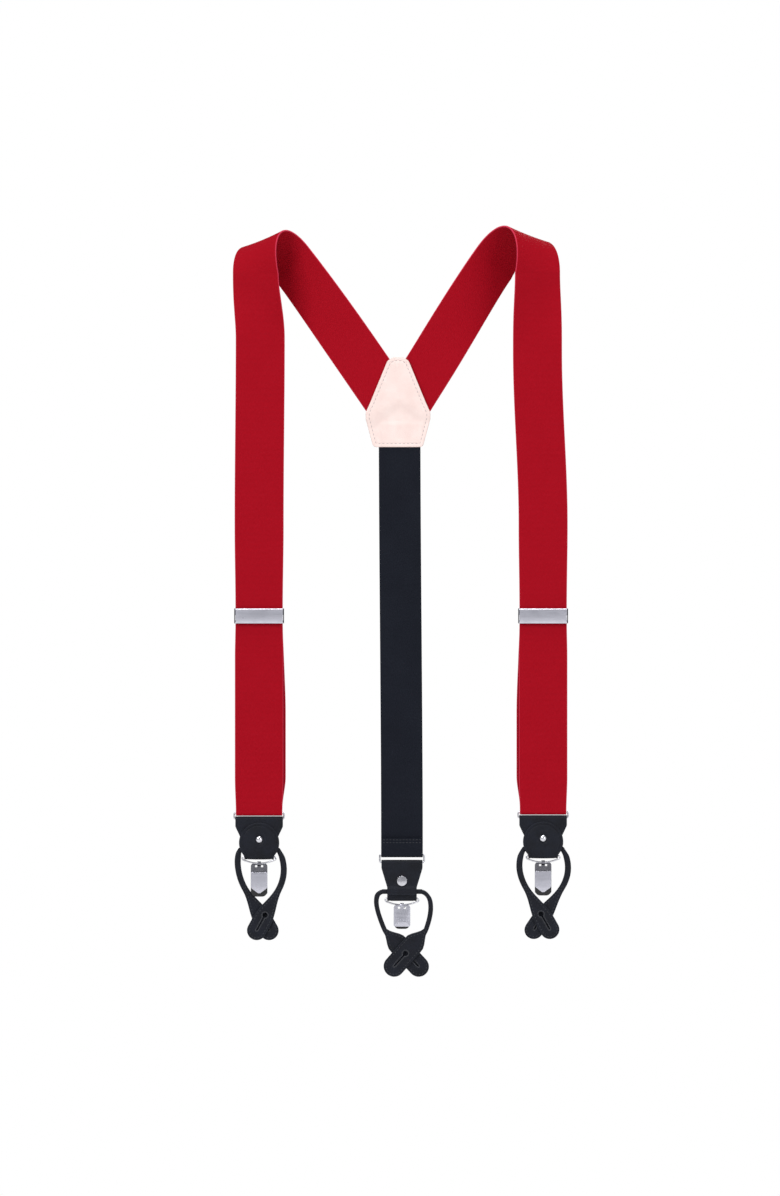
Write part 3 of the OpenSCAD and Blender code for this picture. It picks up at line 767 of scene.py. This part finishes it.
def yoke_cover(points):
    """How far each patch stands from the yoke's middle layer: more over the straps between them."""
    x, z = points.T
    stand = np.full(len(points), LEATHER_T / 2 + 0.1)
    for s in (0, 1):
        hand = (-1, 1)[s]
        fall = math.radians(FALL[s])
        dx, dz = hand * x - ENTRY[s][0], z - ENTRY[s][1]
        along = -math.cos(fall) * dx - math.sin(fall) * dz
        over = np.abs(-math.sin(fall) * dx + math.cos(fall) * dz)
        share = smooth((STRAP_W / 2 + 7 - over) / 7) * smooth((YOKE_TAIL + 5 - along) / 9)
        stand = np.maximum(stand, mix(LEATHER_T / 2 + 0.1, 2.0, share))
    share = smooth((ELASTIC_W / 2 + 1.5 - np.abs(x - node_middle("back_strap")[0])) / 2.6)
    share = share * smooth((-112 - z) / 4)
    return np.maximum(stand, mix(LEATHER_T / 2 + 0.1, WEB_T / 2 + LEATHER_T / 2 + 0.1, share))


def yoke():
    for node, side, material, slot, thread in (
            ("yoke_lining", -1, PALE_LEATHER, "pale_leather", SHADED_PINK_THREAD),
            ("yoke_outer_leather", 1, BLACK_LEATHER, "black_leather", BLACK_THREAD)):
        def place(points, height, side=side):
            y = BACK_Y + side * (yoke_cover(points) + height)
            return np.column_stack([points[:, 0], y, points[:, 1]])

        loops = face_loops(node, side)
        piece = leather(f"{node}_patch", loops, place, material, slot, "root", rim=0.55, crease=SEAM_IN,
                        groove=SEAM_GROOVE, step=0.9, back_crease=False)
        flip_if_inside_out(piece)
        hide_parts(node)
        runs = seam_runs(loops, SEAM_IN, place, LEATHER_T / 2 - 0.18, 1)
        seam = "yoke_stitching" if side < 0 else "yoke_outer_stitching"
        stitches(seam, runs, thread, slot, "root", pitch=2.9, length=2.0, radius=0.27, rise=0.2)


# ---------- the back strap ----------
HEM = 12.0  # how far the elastic is turned back above the ring
WEB_TOP = -101.0  # inside the yoke
HEM_ROWS = (HEM - 1.6, HEM - 3.6)


def back_web():
    ring = ring_point(2)
    top = WEB_TOP - ring[2]
    down = np.column_stack([np.full(150, -BAR_OFFSET), np.linspace(top, 0.6, 150)])

    def hem_y(z):
        return mix(BAR_OFFSET, -0.02, smooth((z - 4) / (HEM - 6)))

    up_z = np.linspace(0.5, HEM, 14)
    up = np.column_stack([hem_y(up_z), up_z])
    route = np.vstack([down, arc((0, 0), BAR_OFFSET, 180, 360, 24), up])
    x = ring[0] - BACK_LEAN * smooth(route[:, 1] / top)
    centre = np.column_stack([x, ring[1] - route[:, 0], ring[2] + route[:, 1]])
    across = np.tile([-1.0, 0, 0], (len(route), 1))
    width = np.full(len(route), ELASTIC_W)
    section = web_section(0.08, 0.035, 1.25, ELASTIC_W)
    piece, length = ribbon("back_web", centre, across, width, section, ELASTIC)
    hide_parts("back_strap")
    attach(piece, "root")
    # two rows of stitches through the hem
    runs = []
    for z, face in [(z, face) for face in (-1, 1) for z in HEM_ROWS]:
        x = np.linspace(ring[0] - 14, ring[0] + 14, 40)
        y = ring[1] - hem_y(z) - WEB_T / 2 if face < 0 else ring[1] + BAR_OFFSET + WEB_T / 2
        points = np.column_stack([x, np.full(40, y), np.full(40, ring[2] + z)])
        runs.append((points, np.tile([0.0, face, 0], (40, 1))))
    stitches("back_hem_stitching", runs, BLACK_THREAD, "black_elastic", "root", 2.2, 1.6, 0.2, 0.12)


# ---------- strap ends ----------
RING_GAP = (4.2, 4.2, 5.6)
FOLD_R = WIRE_R + 0.1
SHIELD_R = (14.3, 14.3, 11.0)
SHIELD_Z = (-21.2, -21.2, -18.6)
RIVET_Z = -18.8
CORE_Z = -26.3
CORE_R = 1.7
PIVOT_X = 13.5
TAB_LOW = -33.0
TAB_FOOT = 10.5
D_BAR_Z = TAB_LOW + FOLD_R + LEATHER_T
EAR_SEAM_TOP = -52
# how far each strand and ear sways along +X of its end's own frame, at these heights
SWAY_Z = (-92.0, -84.0, -54.0, -38.0, -27.0)
SWAY = {("left", "a"): (2.3, 2.3, 1.8, 1.1, 0), ("left", "b"): (3.0, 3.0, 2.6, 1.6, 0),
        ("right", "a"): (0.0, 0.0, -0.4, -1.2, 0), ("right", "b"): (-2.0, -2.0, 2.0, 2.0, 0),
        ("back", "a"): (-3.2, -3.2, -2.4, -1.6, 0), ("back", "b"): (-3.2, -3.2, -2.4, -1.6, 0)}


def to_world(e, local):
    """From an end's own frame, outer face to -Y, to the row frame."""
    turn = -1 if e == 2 else 1
    return ring_point(e) + np.asarray(local) * [turn, turn, 1]


def bent(e, route):
    """place() for leather bent along route, a line of (Y, Z); flat points are (X, distance along it)."""
    route = resample(route, 0.25)
    s = arc_length(route)
    way = unit(np.gradient(route, axis=0))
    normal = np.column_stack([way[:, 1], -way[:, 0]])

    def place(points, height):
        at = points[:, 1]
        y, z = np.interp(at, s, route[:, 0]), np.interp(at, s, route[:, 1])
        ny, nz = np.interp(at, s, normal[:, 0]), np.interp(at, s, normal[:, 1])
        return to_world(e, np.column_stack([points[:, 0], y + ny * height, z + nz * height]))

    return place, route, s


def tab_base(e):
    name = ENDS[e]
    top = (RING_W + 0.8, RING_W + 0.8, ELASTIC_W - 0.4)[e] / 2
    r = FOLD_R + LEATHER_T / 2
    behind = [[r, -22.6], [r + LEATHER_T, -24.4], [r + LEATHER_T, -29]]
    line = np.vstack([[[-r, -23]], arc((0, -RING_GAP[e]), r, 180, 0, 24), behind])
    place, route, s = bent(e, line)
    along = np.linspace(0, s[-1], 60)
    z = np.interp(along, s, route[:, 1])
    half = mix(TAB_FOOT, top, np.clip((z + 23.3) / 13.6, 0, 1))
    loop = np.vstack([np.column_stack([half, along]), np.column_stack([-half, along])[::-1]])
    piece = leather(f"{name}_tab_base_leather", [loop], place, BLACK_LEATHER, "black_leather", f"{name}_tab",
                    crease=1.5, step=0.8, rim=0.45)
    flip_if_inside_out(piece)
    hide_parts(f"{name}_tab_base")


def shield(e):
    name = ENDS[e]
    r = FOLD_R + LEATHER_T / 2
    front = r + LEATHER_T + 0.05
    line = np.vstack([[[-front, -5], [-front, -27.4]], arc((0, D_BAR_Z), r, 180, 360, 24), [[r, -28.5]]])
    place, route, s = bent(e, line)
    # the flat outline: a disc above, then the taper down to the foot, over the fold and up behind
    radius, middle = SHIELD_R[e], np.array([0, -5 - SHIELD_Z[e]])
    disc = arc(middle, radius, -208, 28, 70)
    foot = s[np.argmax(route[:, 1] < TAB_LOW + 2.2)]
    end = s[-1]
    loop = np.vstack([disc, [[TAB_FOOT, foot], [TAB_FOOT, end], [-TAB_FOOT, end], [-TAB_FOOT, foot]]])
    rivet = np.array([0, -5 - RIVET_Z])

    def dimpled(points, height):
        near = np.exp(-((np.linalg.norm(points - rivet, axis=1) / 3.5) ** 6))
        crown = 0.35 * smooth((radius - np.linalg.norm(points - middle, axis=1)) / 6)
        press = np.where(height > 0, crown - 0.75 * near, 0)
        return place(points, height + press)

    piece = leather(f"{name}_tab_shield_leather", [loop], dimpled, BLACK_LEATHER, "black_leather",
                    f"{name}_tab", crease=2.0, groove=0.3, step=0.8, rim=0.5, back_crease=False)
    flip_if_inside_out(piece)
    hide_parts(f"{name}_tab_shield")


def loop_core(e):
    """The rolled cord inside the tab; its ends are round, and the ears' strands turn about them."""
    name = ENDS[e]
    xs = np.concatenate([-PIVOT_X - CORE_R * np.cos(np.radians(np.arange(0, 90, 12))),
                         np.linspace(-PIVOT_X, PIVOT_X, 24),
                         PIVOT_X + CORE_R * np.sin(np.radians(np.arange(6, 91, 12)))])
    radius = np.sqrt(np.maximum(CORE_R**2 - np.maximum(np.abs(xs) - PIVOT_X, 0) ** 2, 0.02))
    verts, faces, sides = [], [], 28
    for x, r in zip(xs, radius):
        for i in range(sides):
            a = TWO_PI * i / sides
            dip = 1 - 0.09 * math.exp(-((a - math.pi) / 0.16) ** 2)
            verts.append(to_world(e, [x, r * dip * math.cos(a), CORE_Z + r * dip * math.sin(a)]))
    for k in range(len(xs) - 1):
        for i in range(sides):
            j = (i + 1) % sides
            faces.append((k * sides + i, k * sides + j, (k + 1) * sides + j, (k + 1) * sides + i))
    faces.append(tuple(range(sides))[::-1])
    faces.append(tuple((len(xs) - 1) * sides + i for i in range(sides)))
    piece = add_mesh(f"{name}_loop_cord", verts, faces, BLACK_LEATHER, f"{name}_tab", "black_leather",
                     rim=np.full(len(verts), 2.0))
    flip_if_inside_out(piece)
    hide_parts(f"{name}_loop_core")


def ear(e, k):
    """One strand with its flat ear, from the CAD plate's own outline."""
    name = f"{ENDS[e]}_ear_{k}"
    ring = ring_point(e)
    loops = face_loops(name, 1)
    turn = -1 if e == 2 else 1
    local = [np.column_stack([(p[:, 0] - ring[0]) * turn, p[:, 1] - ring[2]]) for p in loops]
    side = math.copysign(1, (node_middle(name)[1] - ring[1]) * turn)

    def sway(z):
        fine = np.linspace(-92, -27, 40)
        coarse = np.interp(fine, SWAY_Z, SWAY[ENDS[e], k])
        even = np.convolve(np.pad(coarse, 5, mode="edge"), np.ones(11) / 11, "valid")
        return np.interp(z, fine, even) * smooth((-26.5 - z) / 5)

    def flatness(points):
        return smooth((-38.0 - points[:, 1]) / 14)

    def place(points, height):
        z = points[:, 1]
        y = side * mix(0.1, 0.95, smooth((-27 - z) / 14))
        y = y + height
        x = points[:, 0] + sway(z)
        return to_world(e, np.column_stack([x, y, z]))

    def shape(points):
        flat = flatness(points)
        return mix(1.65, 0.78, flat), mix(2.05, 0.6, flat)

    piece = leather(f"{name}_leather", local, place, BLACK_LEATHER, "black_leather", name, rim=0.6,
                    crease=None, step=0.85, shape=shape, edge_step=0.45)
    flip_if_inside_out(piece)
    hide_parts(name)

    def half(points):
        return shape(points)[0]

    def low(points):
        return points[:, 1] < EAR_SEAM_TOP

    runs = seam_runs(local, 1.7, place, half, 1, low) + seam_runs(local, 1.7, place, half, -1, low)
    stitches(f"{name}_stitching", runs, BLACK_THREAD, "black_leather", name, 2.3, 1.6, 0.19, 0.1)
    if len(local) > 1:
        rim_runs = []
        for face in (1, -1):
            hole = resample(local[1], 0.4, closed=True)
            grown, _ = inset(hole, 0.75, [local[0], hole])
            grown = np.vstack([grown, grown[:1]])
            low_side = place(grown, face * half(grown))
            rim_runs.append((low_side, unit(place(grown, face * (half(grown) + 0.3)) - low_side)))
        stitches(f"{name}_buttonhole_thread", rim_runs, BLACK_THREAD, "black_leather", name, 0.5, 1.1, 0.18,
                 0.1, cross_way=True)


# ---------- metal and plastic ----------
def hardware(node, material, body, bevel=0.12, segments=2):
    """The CAD node's own shape with broken edges, as pressed and tumbled metal has."""
    mesh = bmesh.new()
    mesh.from_mesh(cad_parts[node].data)
    bmesh.ops.remove_doubles(mesh, verts=mesh.verts, dist=2e-6)
    bmesh.ops.dissolve_limit(mesh, angle_limit=math.radians(1), verts=mesh.verts, edges=mesh.edges)
    sharp = [x for x in mesh.edges if len(x.link_faces) == 2 and x.calc_face_angle() > math.radians(32)]
    bmesh.ops.bevel(mesh, geom=sharp, offset=bevel * MM, segments=segments, profile=0.6, affect="EDGES",
                    clamp_overlap=True)
    bmesh.ops.triangulate(mesh, faces=[f for f in mesh.faces if len(f.verts) > 4])
    bmesh.ops.recalc_face_normals(mesh, faces=mesh.faces)
    data = bpy.data.meshes.new(node)
    mesh.to_mesh(data)
    mesh.free()
    data.materials.append(material)
    data.shade_smooth()
    data.set_sharp_from_angle(angle=math.radians(38))
    piece = bpy.data.objects.new(f"{node}_metal", data)
    bpy.context.scene.collection.objects.link(piece)
    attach(piece, body)
    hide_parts(node)
    return piece


def adjuster(s):
    side = SIDES[s]
    # The frame takes the darker nickel: painted shade.
    hardware(f"{side}_adjuster_frame", SHADED_NICKEL, f"{side}_adjuster", 0.12)
    hardware(f"{side}_adjuster_cover", NICKEL, f"{side}_cover", 0.15, 3)
    hardware(f"{side}_adjuster_pin", CHROME, f"{side}_adjuster", 0.1)
    hardware(f"{side}_adjuster_bar", CHROME, f"{side}_adjuster", 0.1)


def clip(e):
    name = ENDS[e]
    # The front clips' bodies and every jaw take the darkened chrome: a painted dark reflection.
    hardware(f"{name}_clip_body", NICKEL if e == 2 else SHADED_CHROME, f"{name}_clip", 0.1)
    hardware(f"{name}_clip_lever", NICKEL, f"{name}_lever", 0.14, 3)
    hardware(f"{name}_clip_jaw", SHADED_CHROME, f"{name}_jaw", 0.08)
    hardware(f"{name}_clip_pad", PLASTIC, f"{name}_jaw", 0.3, 3)
    hardware(f"{name}_clip_pin", CHROME, f"{name}_clip", 0.1)
    hardware(f"{name}_rivet", CHROME, f"{name}_tab", 0.1)


def keep_cad(node, material):
    """A CAD node that shows as it is."""
    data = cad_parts[node].data
    data.materials.clear()
    data.materials.append(material)


# ---------- camera, light and floor ----------
def studio():
    camera = bpy.data.cameras.new("camera")
    camera.type = "ORTHO"
    camera.ortho_scale = 0.849
    camera.clip_start, camera.clip_end = 0.1, 20
    eye = bpy.data.objects.new("camera", camera)
    eye.location = (-0.0071, -3, -0.2386)
    eye.rotation_euler = (math.radians(90), 0, 0)
    bpy.context.scene.collection.objects.link(eye)
    bpy.context.scene.camera = eye
    for name, place, size, power in (
            ("key", (-1.3, -2.0, 1.3), 1.1, 40),
            ("fill", (1.6, -1.7, 0.3), 1.4, 15),
            ("top", (0.1, -0.3, 1.7), 1.0, 20),
            ("rim", (0.9, 1.9, 0.4), 1.2, 14)):
        light = bpy.data.lights.new(name, "AREA")
        light.size = size
        light.energy = power
        lamp = bpy.data.objects.new(name, light)
        lamp.location = place
        lamp.rotation_euler = (Vector((0, 0, -0.26)) - Vector(place)).to_track_quat("-Z", "Y").to_euler()
        bpy.context.scene.collection.objects.link(lamp)
    world = bpy.data.worlds.new("studio")
    world.use_nodes = True
    tree = world.node_tree
    tree.nodes.clear()
    seen = tree.nodes.new("ShaderNodeBackground")
    seen.inputs[0].default_value = (1, 1, 1, 1)
    lit = tree.nodes.new("ShaderNodeBackground")
    lit.inputs[0].default_value = (0.96, 0.97, 1, 1)
    lit.inputs[1].default_value = 0.36
    pick = tree.nodes.new("ShaderNodeMixShader")
    path = tree.nodes.new("ShaderNodeLightPath")
    out = tree.nodes.new("ShaderNodeOutputWorld")
    tree.links.new(path.outputs["Is Camera Ray"], pick.inputs[0])
    tree.links.new(lit.outputs[0], pick.inputs[1])
    tree.links.new(seen.outputs[0], pick.inputs[2])
    tree.links.new(pick.outputs[0], out.inputs[0])
    bpy.context.scene.world = world
    bpy.context.scene.view_settings.view_transform = "Standard"
    bpy.ops.mesh.primitive_circle_add(vertices=96, radius=2.5, fill_type="NGON", location=(
        0, 0, cad_bounds[0].z - 0.03))
    floor = bpy.context.object
    floor.name = "floor"
    paint = Nodes("floor_paint", (0.86, 0.86, 0.85), 0.7)
    cloud = paint.remap(paint.noise(3.0), 0.3, 0.7)
    paint.set("Base Color", paint.blend(cloud, (0.84, 0.84, 0.83), (0.88, 0.88, 0.87)))
    floor.data.materials.append(paint.material)


studio()
yoke()
back_web()
for s in (0, 1):
    front_web(s)
    loop_web(s)
    adjuster(s)
for e in (0, 1, 2):
    tab_base(e)
    shield(e)
    loop_core(e)
    ear(e, "a")
    ear(e, "b")
    clip(e)
    keep_cad(f"{ENDS[e]}_strap_ring", CHROME)
    keep_cad(f"{ENDS[e]}_d_ring", CHROME)
    keep_cad(f"{ENDS[e]}_clip_spring", SPRING)
